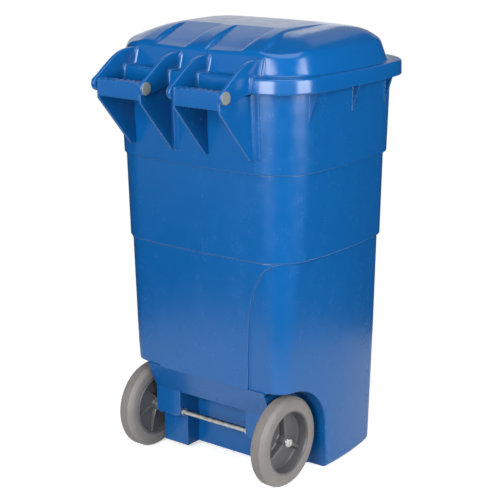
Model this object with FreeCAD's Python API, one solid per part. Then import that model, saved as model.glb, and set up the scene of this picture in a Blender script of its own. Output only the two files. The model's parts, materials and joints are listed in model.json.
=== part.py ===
"""Two-wheeled wheelie bin: a stepped tub on an axle, with a domed lid hinged on the rear handles.

Millimetres. +Z is up and the floor is z = 0. The front of the bin faces -Y, the wheels and the
handles are at +Y, and x = 0 is the plane of symmetry. The origin is the middle of the footprint.
"""
import FreeCAD, Part
import math
import os

V = FreeCAD.Vector
AXIS_X = V(1, 0, 0)
SIDES = {"left": 1, "right": -1}

# Tub. A level is (z, half width, front y, rear y, corner radius, rear bow).
WALL = 4.0
SIDE_BOW_RATIO = 0.058
FRONT_BOW = 20.0
UPPER_TIER = [(708, 262.0, -272.0, 179.5, 100, 20), (908, 266.5, -278.0, 188.0, 103, 20)]
MIDDLE_TIER = [(517, 251.0, -260.5, 171.0, 87, 18), (708, 257.8, -261.0, 174.5, 95, 19)]
LOWER_TIER = [(0, 223.0, -244.0, 130.0, 36, 5), (260, 232.5, -247.0, 149.5, 42, 8),
              (517, 243.0, -254.0, 165.0, 72, 17)]
REAR_PANEL = [(200, 228.0, -245.0, 150.0, 40, 4), (517, 241.0, -254.0, 170.5, 72, 18)]
PANEL_HALF_BOTTOM = 127.0
PANEL_HALF_NECK = 133.0
PANEL_HALF_TOP = 220.5
PANEL_NECK_Z = 340.0

RIM_TOP = 908.0
RIM_THICK = 4.0
RIM_OVERHANG = 8.0
SIDE_RIB_Y = [101.0, -39.0, -180.0]
FRONT_RIB_X = [-75.0, 75.0]
RIB_THICK = 4.0
SIDE_RIB_REACH = 16.0
FRONT_RIB_REACH = 11.0
RIB_TIP_Z = 818.0

# Underside: a rim the bin stands on, and a raised underside inside it.
FOOT_RIM = 26.0
UNDERSIDE_Z = 9.0
FLOOR_Z = UNDERSIDE_Z + WALL
BOTTOM_ROUND = 14.0
LEDGE_ROUND = 3.0

# Running gear
AXLE_Y = 106.5
AXLE_Z = 101.6
AXLE_RADIUS = 6.0
AXLE_END = 207.5
RUNNING_GAP = 0.05
WELL_RADIUS = 117.0
WELL_FRONT_FOOT = -20.0
WELL_TOP = AXLE_Z + WELL_RADIUS
WELL_ROUND = 10.0
ARCH_ROUND = 4.0
HOUSING_HALF = 167.0
RECESS_HALF = 96.0
RECESS_BACK_Y = 52.0
RECESS_TOP = 153.0
PAD_Y = 118.0
PAD_BOTTOM = 91.0
PILLAR_Y = 92.0
PILLAR_BOTTOM = 11.0
OVERHANG_Y = 147.0
PAD_INNER_ROUND = 12.0
PAD_OUTER_ROUND = 7.0

WHEEL_RADIUS = 101.6
TYRE_INNER = 171.5
TYRE_OUTER = 210.5
RIM_RADIUS = 72.0
HUB_INNER = 174.5
HUB_OUTER = 208.5
WEB_FACE = 184.0
WEB_THICK = 4.0
BOSS_RADIUS = 14.0
BOSS_INNER = 170.5
BOSS_OUTER = 203.0
SLEEVE_RADIUS = 9.0
SPOKES = 3
SPOKE_WIDTH = 10.0
BACK_RIBS = 6
TREAD_GROOVES = 5

# Rear handles and the lid hinge
HINGE_Y = 278.5
HINGE_Z = 883.0
PIN_RADIUS = 6.0
PIN_HEAD_RADIUS = 13.5
PIN_HEAD_THICK = 2.2
CHEEK_THICK = 6.0
CHEEK_INNER = 43.5
CHEEK_OUTER = 166.5
GRIP_FACE_Y = 286.0
GRIP_DEPTH = 27.0
GRIP_BOTTOM = 857.5
GRIP_TOP = 895.0
SCALLOPS = 7
SCALLOP_RADIUS = 9.0
SCALLOP_DEPTH = 2.2
GRIP_ROUND = 3.0
PIN_SEAT = 16.0
ARM_THICK = 8.5
ARM_GAP = 0.4
KNUCKLE_RADIUS = 15.5
ARM_SLOT_Y = 192.0
ARM_SLOT_GAP = 3.0

# Lid
FLANGE = (289.0, -294.0, 207.0, 110)
FLANGE_REAR_BOW = 20.0
SKIRT_BOTTOM = 881.0
FLANGE_TOP = 913.0
FLANGE_THICK = 4.5
SKIRT_THICK = 3.8
LID_WALL = 4.0
DOME = [(910, 270.0, -254.0, 175.0, 96, 20), (958, 251.0, -248.0, 161.5, 92, 18),
        (979, 212.0, -214.0, 112.0, 72, 14), (989, 176.0, -130.0, 76.0, 50, 8),
        (995, 130.0, -80.0, 50.0, 30, 4)]
LID_RIBS = [(-143.0, 40.0), (0.0, 46.0), (143.0, 40.0)]
LID_RIB_RISE = 3.0


def save(name, shape):
    shape.exportStep("parts/%s.step" % name)
    reach = shape.BoundBox
    print("%-22s %-6s %9.1f cm3  x %.1f..%.1f  y %.1f..%.1f  z %.1f..%.1f" % (
        name, shape.isValid(), shape.Volume / 1000, reach.XMin, reach.XMax, reach.YMin, reach.YMax,
        reach.ZMin, reach.ZMax))


def box(x0, x1, y0, y1, z0, z1):
    return Part.makeBox(x1 - x0, y1 - y0, z1 - z0, V(x0, y0, z0))


def rod(radius, x0, x1, y, z):
    return Part.makeCylinder(radius, x1 - x0, V(x0, y, z), AXIS_X)


def prism_x(points, x0, x1):
    """A straight-sided outline of (y, z) points, drawn out from x0 to x1."""
    corners = [V(x0, y, z) for y, z in points]
    face = Part.Face(Part.makePolygon(corners + corners[:1]))
    return face.extrude(V(x1 - x0, 0, 0))


def mirror_x(shape):
    return shape.mirror(V(0, 0, 0), AXIS_X)


def fuse(shapes):
    return shapes[0].multiFuse(shapes[1:]).removeSplitter() if len(shapes) > 1 else shapes[0]


def bow_radius(half_length, bow):
    return (half_length ** 2 + bow ** 2) / (2 * bow)


def corner_centre(side_centre, side_radius, end_centre, end_radius, corner):
    """Centre of the corner arc that touches both the side's and the end's large arcs."""
    reach_side = side_radius - corner
    reach_end = end_radius - corner
    line = end_centre - side_centre
    gap = line.Length
    along = (reach_side ** 2 - reach_end ** 2 + gap ** 2) / (2 * gap)
    across = math.sqrt(reach_side ** 2 - along ** 2)
    line.normalize()
    options = [side_centre + line * along + V(-line.y, line.x, 0) * across * s for s in (1, -1)]
    return max(options, key=lambda point: point.x)


def outline(z, half_width, front, rear, corner, rear_bow):
    """Closed wire of four bowed sides joined by tangent corner arcs, at height z."""
    middle = (front + rear) / 2
    side_radius = bow_radius((rear - front) / 2, SIDE_BOW_RATIO * (rear - front))
    side_centre = V(half_width - side_radius, middle, 0)
    lift = V(0, 0, z)
    ends = []
    for y, bow, inward in ((front, FRONT_BOW, 1), (rear, rear_bow, -1)):
        end_radius = bow_radius(half_width, bow)
        end_centre = V(0, y + inward * end_radius, 0)
        centre = corner_centre(side_centre, side_radius, end_centre, end_radius, corner)
        on_side = side_centre + (centre - side_centre) * (side_radius / (side_radius - corner))
        on_end = end_centre + (centre - end_centre) * (end_radius / (end_radius - corner))
        toward = (on_side - centre) + (on_end - centre)
        toward.normalize()
        ends.append((on_side + lift, centre + toward * corner + lift, on_end + lift))
    (side_f, mid_f, end_f), (side_r, mid_r, end_r) = ends

    def flip(point):
        return V(-point.x, point.y, point.z)

    arcs = [
        (side_f, V(half_width, middle, z), side_r), (side_r, mid_r, end_r),
        (end_r, V(0, rear, z), flip(end_r)), (flip(end_r), flip(mid_r), flip(side_r)),
        (flip(side_r), V(-half_width, middle, z), flip(side_f)),
        (flip(side_f), flip(mid_f), flip(end_f)), (flip(end_f), V(0, front, z), end_f),
        (end_f, mid_f, side_f),
    ]
    return Part.Wire([Part.Arc(*points).toShape() for points in arcs])


def tier(levels):
    return Part.makeLoft([outline(*level) for level in levels], True, True)


def inset(level, wall, dz=0.0):
    z, half_width, front, rear, corner, rear_bow = level
    return (z + dz, half_width - wall, front + wall, rear - wall, corner - wall, rear_bow)


def level_at(levels, z):
    """The level at height z, on the straight line between its neighbours."""
    for low, high in zip(levels, levels[1:]):
        if low[0] <= z <= high[0]:
            share = (z - low[0]) / (high[0] - low[0])
            return tuple(a + (b - a) * share for a, b in zip(low, high))
    raise ValueError("no level at %s" % z)


# ---------------------------------------------------------------- tub
def lower_tier():
    solid = tier(LOWER_TIER).removeSplitter()
    bottom = [edge for edge in solid.Edges if edge.BoundBox.ZMax < 1]
    return solid.makeFillet(BOTTOM_ROUND, bottom)


def ledged_tier(levels):
    """A tier whose lower edge stands out over the tier below, slightly rounded."""
    solid = tier(levels)
    bottom = [edge for edge in solid.Edges if edge.BoundBox.ZMax < levels[0][0] + 1]
    return solid.makeFillet(LEDGE_ROUND, bottom)


def rear_panel():
    """The raised flat on the lower tier's back, flaring out to the middle tier's ledge."""
    low, high = WELL_TOP, REAR_PANEL[-1][0]
    y = 100.0
    flare = Part.BezierCurve()
    flare.setPoles([V(PANEL_HALF_NECK, y, PANEL_NECK_Z), V(140, y, 450), V(165, y, high),
                    V(PANEL_HALF_TOP, y, high)])
    right = [Part.makeLine(V(0, y, low), V(PANEL_HALF_BOTTOM, y, low)),
             Part.makeLine(V(PANEL_HALF_BOTTOM, y, low), V(PANEL_HALF_NECK, y, PANEL_NECK_Z)),
             flare.toShape(),
             Part.makeLine(V(PANEL_HALF_TOP, y, high), V(0, y, high))]
    half = Part.Face(Part.Wire(right + [Part.makeLine(V(0, y, high), V(0, y, low))]))
    blank = half.extrude(V(0, 120, 0))
    return tier(REAR_PANEL).common(blank.fuse(mirror_x(blank)))


def gusset(x, y, along_x):
    """A small triangular gusset under the rim, standing out from the wall at (x, y)."""
    reach = SIDE_RIB_REACH if along_x else FRONT_RIB_REACH
    out = V(math.copysign(1, x), 0, 0) if along_x else V(0, -1, 0)
    across = V(0, RIB_THICK, 0) if along_x else V(RIB_THICK, 0, 0)
    root = V(x, y, 0) - across * 0.5
    points = [root - out * 12 + V(0, 0, RIM_TOP - 2), root + V(0, 0, RIM_TOP - 2),
              root + out * reach + V(0, 0, RIM_TOP - 8),
              root + out * reach + V(0, 0, SKIRT_BOTTOM - 1), root - out * 3 + V(0, 0, RIB_TIP_Z),
              root - out * 12 + V(0, 0, RIB_TIP_Z)]
    return Part.Face(Part.makePolygon(points + points[:1])).extrude(across)


def rim():
    """The flange round the tub's mouth, with small gussets under its sides and front."""
    top = level_at(UPPER_TIER, RIM_TOP)
    under = level_at(UPPER_TIER, RIM_TOP - RIM_THICK)
    flange = tier([inset(under, -RIM_OVERHANG), inset(top, -RIM_OVERHANG)])
    middle_y = (top[2] + top[3]) / 2
    depth = top[3] - top[2]
    parts = [flange]
    for y in SIDE_RIB_Y:
        drop = SIDE_BOW_RATIO * depth * (2 * (y - middle_y) / depth) ** 2
        for side in (1, -1):
            parts.append(gusset(side * (top[1] - drop), y, True))
    for x in FRONT_RIB_X:
        drop = FRONT_BOW * (x / top[1]) ** 2
        parts.append(gusset(x, top[2] + drop, False))
    return parts


def wheel_wells(grow):
    """Both wheel wells as cutters, grown by the wall for the inside of the tub."""
    radius = WELL_RADIUS + grow
    slant = radius * math.sqrt(0.5)
    centre = V(HOUSING_HALF - grow, AXLE_Y, AXLE_Z)
    start = centre + V(0, -radius, 0)
    top = centre + V(0, 0, radius)
    foot = V(centre.x, WELL_FRONT_FOOT - grow, -5)
    back = V(centre.x, 300, top.z)
    under = V(centre.x, 300, -5)
    arch = Part.Arc(start, centre + V(0, -slant, slant), top).toShape()
    face = Part.Face(Part.Wire([Part.makeLine(foot, start), arch, Part.makeLine(top, back),
                                Part.makeLine(back, under), Part.makeLine(under, foot)]))
    well = face.extrude(V(150, 0, 0))
    inner = [edge for edge in well.Edges
             if edge.BoundBox.XMax < centre.x + 1 and edge.BoundBox.YMax < AXLE_Y + 1
             and edge.BoundBox.ZMin > 50]
    well = well.makeFillet(WELL_ROUND, inner)
    return [well, mirror_x(well)]


def arch_lips(shell):
    """The well openings' edges on the tub's outside."""
    found = []
    for edge in shell.Edges:
        reach = edge.BoundBox
        outside = min(abs(reach.XMin), abs(reach.XMax)) > HOUSING_HALF + 8
        on_well = reach.ZMax < WELL_TOP + 1 and reach.YMin > WELL_FRONT_FOOT - 1
        if outside and on_well and reach.XLength > 1 and reach.YMax < OVERHANG_Y - 3:
            found.append(edge)
    return found


def underside_cut():
    """Raises the underside inside the rim that the bin stands on."""
    bottom = level_at(LOWER_TIER, 0)
    middle = tier([inset(bottom, FOOT_RIM, -5), inset(bottom, FOOT_RIM, UNDERSIDE_Z)]).cut(
        box(-400, 400, WELL_FRONT_FOOT - FOOT_RIM, 400, -10, 20))
    return middle.fuse(box(-HOUSING_HALF, HOUSING_HALF, WELL_FRONT_FOOT - FOOT_RIM, 400, -10,
                           PILLAR_BOTTOM))


def cavity():
    """The inside of the tub, one wall inside the outside, stepped up over the running gear."""
    floor = level_at(LOWER_TIER, FLOOR_Z)
    knee = level_at(LOWER_TIER, 40)
    inner = fuse([
        tier([inset(floor, WALL + 10), inset(knee, WALL), inset(LOWER_TIER[1], WALL),
              inset(LOWER_TIER[-1], WALL, WALL)]),
        tier([inset(MIDDLE_TIER[0], WALL, WALL), inset(MIDDLE_TIER[-1], WALL, WALL)]),
        tier([inset(UPPER_TIER[0], WALL, WALL), inset(UPPER_TIER[-1], WALL, 10)]),
    ])
    over_housing = box(WALL - HOUSING_HALF, HOUSING_HALF - WALL, RECESS_BACK_Y - WALL, 300, 0,
                       WELL_TOP + WALL)
    return inner.cut(fuse(wheel_wells(WALL) + [over_housing]))


def tub_base():
    """The lower tier with its wheel wells, open between them where the axle housing sits."""
    base = lower_tier().cut(fuse(wheel_wells(0)))
    base = base.makeFillet(ARCH_ROUND, arch_lips(base))
    base = base.cut(box(-HOUSING_HALF, HOUSING_HALF, RECESS_BACK_Y, 300, -5, WELL_TOP))
    return fuse([base.cut(underside_cut()), rear_panel()]).cut(cavity())


def tub_middle():
    return ledged_tier(MIDDLE_TIER).cut(cavity())


def tub_upper():
    """The upper tier stands up to the underside of its rim, which is laid on it face to face."""
    wall = [UPPER_TIER[0], level_at(UPPER_TIER, RIM_TOP - RIM_THICK)]
    return fuse([ledged_tier(wall)] + rim()).cut(cavity())


def axle_housing():
    """The block between the wheels: two pads that hold the axle, pillars under them, a recess."""
    body = prism_x([(RECESS_BACK_Y, PILLAR_BOTTOM), (RECESS_BACK_Y, WELL_TOP),
                    (OVERHANG_Y, WELL_TOP), (PAD_Y, RECESS_TOP), (PAD_Y, PAD_BOTTOM),
                    (PILLAR_Y, PAD_BOTTOM), (PILLAR_Y, PILLAR_BOTTOM)], -HOUSING_HALF, HOUSING_HALF)
    body = body.cut(box(-RECESS_HALF, RECESS_HALF, 0, 300, -5, RECESS_TOP))
    body = body.makeFillet(PAD_INNER_ROUND, pad_corners(body, RECESS_HALF))
    body = body.makeFillet(PAD_OUTER_ROUND, pad_corners(body, HOUSING_HALF))
    side = HOUSING_HALF - 5
    for x0, x1 in ((-side, -RECESS_HALF - 5), (RECESS_HALF + 5, side)):
        body = body.cut(box(x0, x1, RECESS_BACK_Y + 5, PILLAR_Y - 5, -5, PAD_BOTTOM - 6))
        body = body.cut(hollow_above(x0, x1, AXLE_Z + 24))
    body = body.cut(hollow_above(-RECESS_HALF, RECESS_HALF, RECESS_TOP + WALL))
    return body.cut(rod(AXLE_RADIUS, -HOUSING_HALF - 1, HOUSING_HALF + 1, AXLE_Y, AXLE_Z))


def pad_corners(body, half_width):
    """The pads' lower edges along Y, at x = half_width on either side."""
    found = []
    for edge in body.Edges:
        reach = edge.BoundBox
        along_y = reach.XLength < 0.01 and reach.ZLength < 0.01
        if along_y and abs(reach.ZMin - PAD_BOTTOM) < 0.01 and abs(abs(reach.XMin) - half_width) < 0.01:
            found.append(edge)
    return found


def hollow_above(x0, x1, floor_z):
    """A space in the housing's top, closed above by the tub's floor."""
    return prism_x([(RECESS_BACK_Y + WALL, floor_z), (PAD_Y - WALL, floor_z),
                    (PAD_Y - WALL, max(floor_z, RECESS_TOP) + 1),
                    (OVERHANG_Y - 2 * WALL, WELL_TOP + 1), (RECESS_BACK_Y + WALL, WELL_TOP + 1)], x0, x1)


def handle():
    """The +X handle: two triangular cheeks and a scalloped grip between them."""
    cheek_yz = [(150, 741), (189, 741), (189, 744), (GRIP_FACE_Y, 853), (GRIP_FACE_Y, GRIP_TOP),
                (GRIP_FACE_Y - GRIP_DEPTH, GRIP_TOP), (215, 876), (150, 876)]
    cheeks = [prism_x(cheek_yz, x, x + CHEEK_THICK)
              for x in (CHEEK_INNER, CHEEK_OUTER - CHEEK_THICK)]
    grip = box(CHEEK_INNER + 1, CHEEK_OUTER - 1, GRIP_FACE_Y - GRIP_DEPTH, GRIP_FACE_Y,
               GRIP_BOTTOM, GRIP_TOP)
    grip = grip.makeFillet(GRIP_ROUND, [edge for edge in grip.Edges if edge.BoundBox.XLength > 50])
    end = CHEEK_THICK + PIN_SEAT
    hollow = box(CHEEK_INNER + end, CHEEK_OUTER - end, GRIP_FACE_Y - GRIP_DEPTH + WALL,
                 GRIP_FACE_Y - WALL, GRIP_BOTTOM - 1, GRIP_TOP - WALL - SCALLOP_DEPTH)
    grip = grip.cut(hollow)
    pitch = (CHEEK_OUTER - CHEEK_INNER - 2 * CHEEK_THICK) / SCALLOPS
    for i in range(SCALLOPS):
        x = CHEEK_INNER + CHEEK_THICK + pitch * (i + 0.5)
        centre = V(x, GRIP_FACE_Y - 45, GRIP_TOP + SCALLOP_RADIUS - SCALLOP_DEPTH)
        grip = grip.cut(Part.makeCylinder(SCALLOP_RADIUS, 60, centre, V(0, 1, 0)))
    shape = fuse(cheeks + [grip])
    for x in (CHEEK_INNER - 5, CHEEK_OUTER - end):
        shape = shape.cut(rod(PIN_RADIUS, x, x + end + 5, HINGE_Y, HINGE_Z))
    return shape.cut(tier(UPPER_TIER))


# ---------------------------------------------------------------- lid
def flange_level(z, shrink=0.0):
    half_width, front, rear, corner = FLANGE
    return (z, half_width - shrink, front + shrink, rear - shrink, corner - shrink,
            FLANGE_REAR_BOW)


def arm_positions():
    """x range of the two hinge arms on the +X side: beside each cheek, outside the handle."""
    inner = CHEEK_INNER - ARM_GAP
    outer = CHEEK_OUTER + ARM_GAP
    return [(inner - ARM_THICK, inner), (outer, outer + ARM_THICK)]


def arm(x0, x1):
    """A hinge arm: a plate from the dome's wall, over the flange, down to the hinge knuckle."""
    slope = math.atan2(0.68, 1.0)
    top_tangent = V(0, HINGE_Y + KNUCKLE_RADIUS * math.sin(slope),
                    HINGE_Z + KNUCKLE_RADIUS * math.cos(slope))
    fall = 0.14
    low_tangent = (HINGE_Y - KNUCKLE_RADIUS * math.sin(fall),
                   HINGE_Z - KNUCKLE_RADIUS * math.cos(fall))
    skirt_y = FLANGE[2] - 3
    shoulder_y = 232.0
    shoulder_z = top_tangent.z + (top_tangent.y - shoulder_y) * math.tan(slope)
    plate = prism_x([(HINGE_Y, HINGE_Z), (top_tangent.y, top_tangent.z), (shoulder_y, shoulder_z),
                     (216, 941.5), (202, 946), (186, 948), (145, 948.5),
                     (145, FLANGE_TOP - FLANGE_THICK), (skirt_y, FLANGE_TOP - FLANGE_THICK),
                     (skirt_y, SKIRT_BOTTOM - 2), low_tangent], x0, x1)
    solid = plate.fuse(rod(KNUCKLE_RADIUS, x0, x1, HINGE_Y, HINGE_Z))
    return solid.cut(rod(PIN_RADIUS + RUNNING_GAP, x0 - 1, x1 + 1, HINGE_Y, HINGE_Z)).removeSplitter()


def lid_rib(x, width):
    """A raised rib up the back slope of the dome."""
    path = [(level[3], level[0]) for level in DOME[1:]]
    upper = [(y, z + LID_RIB_RISE) for y, z in path[1:-1]]
    crest = (path[-1][0] - 12, path[-1][1] + LID_RIB_RISE)
    lower = [(path[0][0] - 1 - bow_drop(x), path[0][1] - 8)]
    base = [(y - 20, z - 12) for y, z in reversed(path)]
    return prism_x(lower + upper + [crest] + base, x - width / 2, x + width / 2)


def bow_drop(x):
    """How far the dome's bowed back lies forward of its middle, at a distance x from it."""
    return 18.0 * (x / DOME[1][1]) ** 2


def lid():
    flange = tier([flange_level(SKIRT_BOTTOM), flange_level(FLANGE_TOP)])
    rim_edges = [edge for edge in flange.Edges if edge.BoundBox.ZMin > FLANGE_TOP - 1]
    flange = flange.makeFillet(3.5, rim_edges)
    hollow = tier([flange_level(SKIRT_BOTTOM - 1, SKIRT_THICK),
                   flange_level(FLANGE_TOP - FLANGE_THICK, SKIRT_THICK)])
    flange = flange.cut(hollow)
    positions = arm_positions()
    for x0, x1 in positions:
        slot = box(x0 - ARM_SLOT_GAP, x1 + ARM_SLOT_GAP, ARM_SLOT_Y, 240, SKIRT_BOTTOM - 1,
                   FLANGE_TOP + 1)
        flange = flange.cut(slot).cut(mirror_x(slot))
    ribs = [lid_rib(x, width) for x, width in LID_RIBS]
    shell = fuse([flange, tier(DOME)] + ribs)
    inside = [inset(DOME[0], LID_WALL, -3)] + [inset(level, LID_WALL, -LID_WALL) for level in DOME[1:]]
    return shell.cut(tier(inside))


def lid_arms():
    """The +X pair of arms, inner and outer, cut to the dome's wall and the flange they grow from."""
    shelf = tier([flange_level(FLANGE_TOP - FLANGE_THICK), flange_level(FLANGE_TOP)])
    blank = tier(DOME).fuse(shelf.cut(box(-300, 300, ARM_SLOT_Y, 300, 800, 1000)))
    return [arm(x0, x1).cut(blank) for x0, x1 in arm_positions()]


def hinge_pin(head_x, direction):
    """A headed pin: the head lies on an arm's outer face, the shank runs into the grip's end."""
    shank_length = ARM_THICK + ARM_GAP + CHEEK_THICK + 10
    centre = V(head_x, HINGE_Y, HINGE_Z)
    along = V(direction, 0, 0)
    head = Part.makeCylinder(PIN_HEAD_RADIUS, PIN_HEAD_THICK, centre - along * (PIN_HEAD_THICK + 0.3),
                             along)
    rounded = [edge for edge in head.Edges
               if abs(edge.BoundBox.XMin - (head_x - direction * (PIN_HEAD_THICK + 0.3))) < 0.01
               and edge.BoundBox.XLength < 0.01]
    head = head.makeFillet(1.2, rounded)
    shank = Part.makeCylinder(PIN_RADIUS, shank_length + 0.4, centre - along * 0.4, along)
    return head.fuse(shank).removeSplitter()


# ---------------------------------------------------------------- running gear
def ring(inner, outer, x0, x1):
    return rod(outer, x0, x1, AXLE_Y, AXLE_Z).cut(rod(inner, x0 - 1, x1 + 1, AXLE_Y, AXLE_Z))


def turned(points):
    """A solid of revolution about the axle from a closed outline of (x, radius) points."""
    corners = [V(x, AXLE_Y, AXLE_Z + radius) for x, radius in points]
    face = Part.Face(Part.makePolygon(corners + corners[:1]))
    return face.revolve(V(0, AXLE_Y, AXLE_Z), AXIS_X, 360)


def tyre():
    """A rubber ring with round shoulders and fine grooves round the tread."""
    middle = (TYRE_INNER + TYRE_OUTER) / 2
    half = (TYRE_OUTER - TYRE_INNER) / 2
    shoulder = [(-half + 3, RIM_RADIUS), (-half, 80), (-half, 91), (-half + 1.5, 96),
                (-half + 5, 99.8), (-half + 9, WHEEL_RADIUS - 0.4)]
    tread = []
    pitch = 4.2
    for i in range(TREAD_GROOVES):
        x = (i - (TREAD_GROOVES - 1) / 2) * pitch
        tread += [(x - 0.8, WHEEL_RADIUS), (x - 0.4, WHEEL_RADIUS - 1.3),
                  (x + 0.4, WHEEL_RADIUS - 1.3), (x + 0.8, WHEEL_RADIUS)]
    points = shoulder + tread + [(-x, radius) for x, radius in reversed(shoulder)]
    return turned([(middle + x, radius) for x, radius in points])


def hub():
    """A deep-dished hub: rim, web near the inner face, boss and three spokes on the outside."""
    bore = SLEEVE_RADIUS
    body = turned([(HUB_INNER, RIM_RADIUS), (HUB_OUTER, RIM_RADIUS), (HUB_OUTER, RIM_RADIUS - 4),
                   (WEB_FACE, RIM_RADIUS - 7), (WEB_FACE, BOSS_RADIUS), (BOSS_OUTER, BOSS_RADIUS - 1),
                   (BOSS_OUTER, bore), (BOSS_INNER, bore), (BOSS_INNER, BOSS_RADIUS),
                   (WEB_FACE - WEB_THICK, BOSS_RADIUS), (WEB_FACE - WEB_THICK, RIM_RADIUS - 6),
                   (HUB_INNER, RIM_RADIUS - 5)])
    spoke = prism_y([(WEB_FACE - 1, AXLE_Z + bore + 2), (BOSS_OUTER - 2, AXLE_Z + bore + 2),
                     (BOSS_OUTER - 7, AXLE_Z + RIM_RADIUS - 5), (WEB_FACE - 1, AXLE_Z + RIM_RADIUS - 5)],
                    AXLE_Y - SPOKE_WIDTH / 2, AXLE_Y + SPOKE_WIDTH / 2)
    back_rib = prism_y([(WEB_FACE - WEB_THICK + 1, AXLE_Z + bore + 2), (BOSS_INNER + 4, AXLE_Z + bore + 2),
                        (HUB_INNER + 1, AXLE_Z + RIM_RADIUS - 5),
                        (WEB_FACE - WEB_THICK + 1, AXLE_Z + RIM_RADIUS - 5)], AXLE_Y - 1, AXLE_Y + 1)
    pieces = [body]
    for i in range(SPOKES):
        pieces.append(spun(spoke, 360 / SPOKES * i))
    for i in range(BACK_RIBS):
        pieces.append(spun(back_rib, 360 / BACK_RIBS * (i + 0.5)))
    return fuse(pieces)


def prism_y(points, y0, y1):
    """A straight-sided outline of (x, z) points, drawn out from y0 to y1."""
    corners = [V(x, y0, z) for x, z in points]
    return Part.Face(Part.makePolygon(corners + corners[:1])).extrude(V(0, y1 - y0, 0))


def spun(shape, angle):
    copy = shape.copy()
    copy.rotate(V(0, AXLE_Y, AXLE_Z), AXIS_X, angle)
    return copy


def axle_cap():
    """A pressed push-on cap over the axle's end, with a dimple in the middle."""
    x0 = BOSS_OUTER + 2.5
    cup = turned([(x0, 11), (x0 + 1.5, 11), (x0 + 5, 8.5), (x0 + 5.5, 3.5), (x0 + 4.5, 3),
                  (x0 + 4.5, 0), (AXLE_END + 0.01, 0), (AXLE_END + 0.01, AXLE_RADIUS), (x0, AXLE_RADIUS)])
    return cup


def running_gear():
    """Everything on the +X end of the axle, by name."""
    sleeve = (BOSS_INNER - 0.2, BOSS_OUTER + 0.2)
    return {
        "tyre": tyre(),
        "hub": hub(),
        "hub_sleeve": ring(AXLE_RADIUS + RUNNING_GAP, SLEEVE_RADIUS, *sleeve),
        "inner_washer": ring(AXLE_RADIUS, 12, HOUSING_HALF, BOSS_INNER - 0.5),
        "outer_washer": ring(AXLE_RADIUS, 11.5, BOSS_OUTER + 0.6, BOSS_OUTER + 2.5),
        "axle_cap": axle_cap(),
        "axle_collar": ring(AXLE_RADIUS, 9, RECESS_HALF - 5.5, RECESS_HALF - 0.5),
    }


def build():
    os.makedirs("parts", exist_ok=True)
    save("tub_base", tub_base())
    save("tub_middle", tub_middle())
    save("tub_upper", tub_upper())
    save("axle_housing", axle_housing())
    save("handle_left", handle())
    save("handle_right", mirror_x(handle()))
    save("lid", lid())
    for name, shape in zip(("inner", "outer"), lid_arms()):
        save("lid_arm_" + name + "_left", shape)
        save("lid_arm_" + name + "_right", mirror_x(shape))
    for name, shape in running_gear().items():
        save(name + "_left", shape)
        save(name + "_right", mirror_x(shape))
    save("axle", rod(AXLE_RADIUS, -AXLE_END, AXLE_END, AXLE_Y, AXLE_Z))
    (inner, _), (_, outer) = arm_positions()
    for side_name, side in SIDES.items():
        save("hinge_pin_inner_" + side_name, hinge_pin(side * inner, side))
        save("hinge_pin_outer_" + side_name, hinge_pin(side * outer, -side))


build()
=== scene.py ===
"""Looks for the wheelie bin: materials, a remodelled lid, handles and wheels, studio and camera.

Shapes are worked out in millimetres in the model's own frame and turned into metres when a mesh
is made. The front of the bin faces -Y, the wheels and the handles are at +Y, and +Z is up.
"""

import json
import math

import bmesh
import bpy
from mathutils import Matrix, Vector


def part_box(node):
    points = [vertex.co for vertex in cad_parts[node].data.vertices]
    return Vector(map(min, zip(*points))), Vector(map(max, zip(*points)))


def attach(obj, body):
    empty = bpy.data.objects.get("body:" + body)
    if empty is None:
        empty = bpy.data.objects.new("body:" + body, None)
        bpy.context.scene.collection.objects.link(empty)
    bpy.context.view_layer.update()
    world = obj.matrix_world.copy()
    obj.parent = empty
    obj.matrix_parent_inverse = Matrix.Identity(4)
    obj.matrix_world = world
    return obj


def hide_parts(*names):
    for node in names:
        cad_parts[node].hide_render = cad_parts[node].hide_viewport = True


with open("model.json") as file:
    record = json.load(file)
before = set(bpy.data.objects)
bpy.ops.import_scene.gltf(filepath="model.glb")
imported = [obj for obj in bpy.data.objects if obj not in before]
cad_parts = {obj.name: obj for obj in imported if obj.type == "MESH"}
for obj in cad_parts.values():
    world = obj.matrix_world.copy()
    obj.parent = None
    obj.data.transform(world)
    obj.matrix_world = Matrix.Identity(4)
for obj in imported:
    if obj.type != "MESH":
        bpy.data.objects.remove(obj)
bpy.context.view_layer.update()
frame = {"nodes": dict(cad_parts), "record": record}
NODES = frame["nodes"]
SIDES = {"left": 1, "right": -1}
MM = 0.001


def node_box(node):
    """Lowest and highest corner of a CAD node in millimetres."""
    low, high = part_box(node)
    return low / MM, high / MM


def linear(red, green, blue):
    """A colour given in 0-255 display values, as linear RGBA."""
    def channel(value):
        value /= 255
        return value / 12.92 if value <= 0.04045 else ((value + 0.055) / 1.055) ** 2.4
    return (channel(red), channel(green), channel(blue), 1.0)


def scaled(colour, factor):
    return tuple(min(1.0, c * factor) for c in colour[:3]) + (1.0,)


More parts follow.
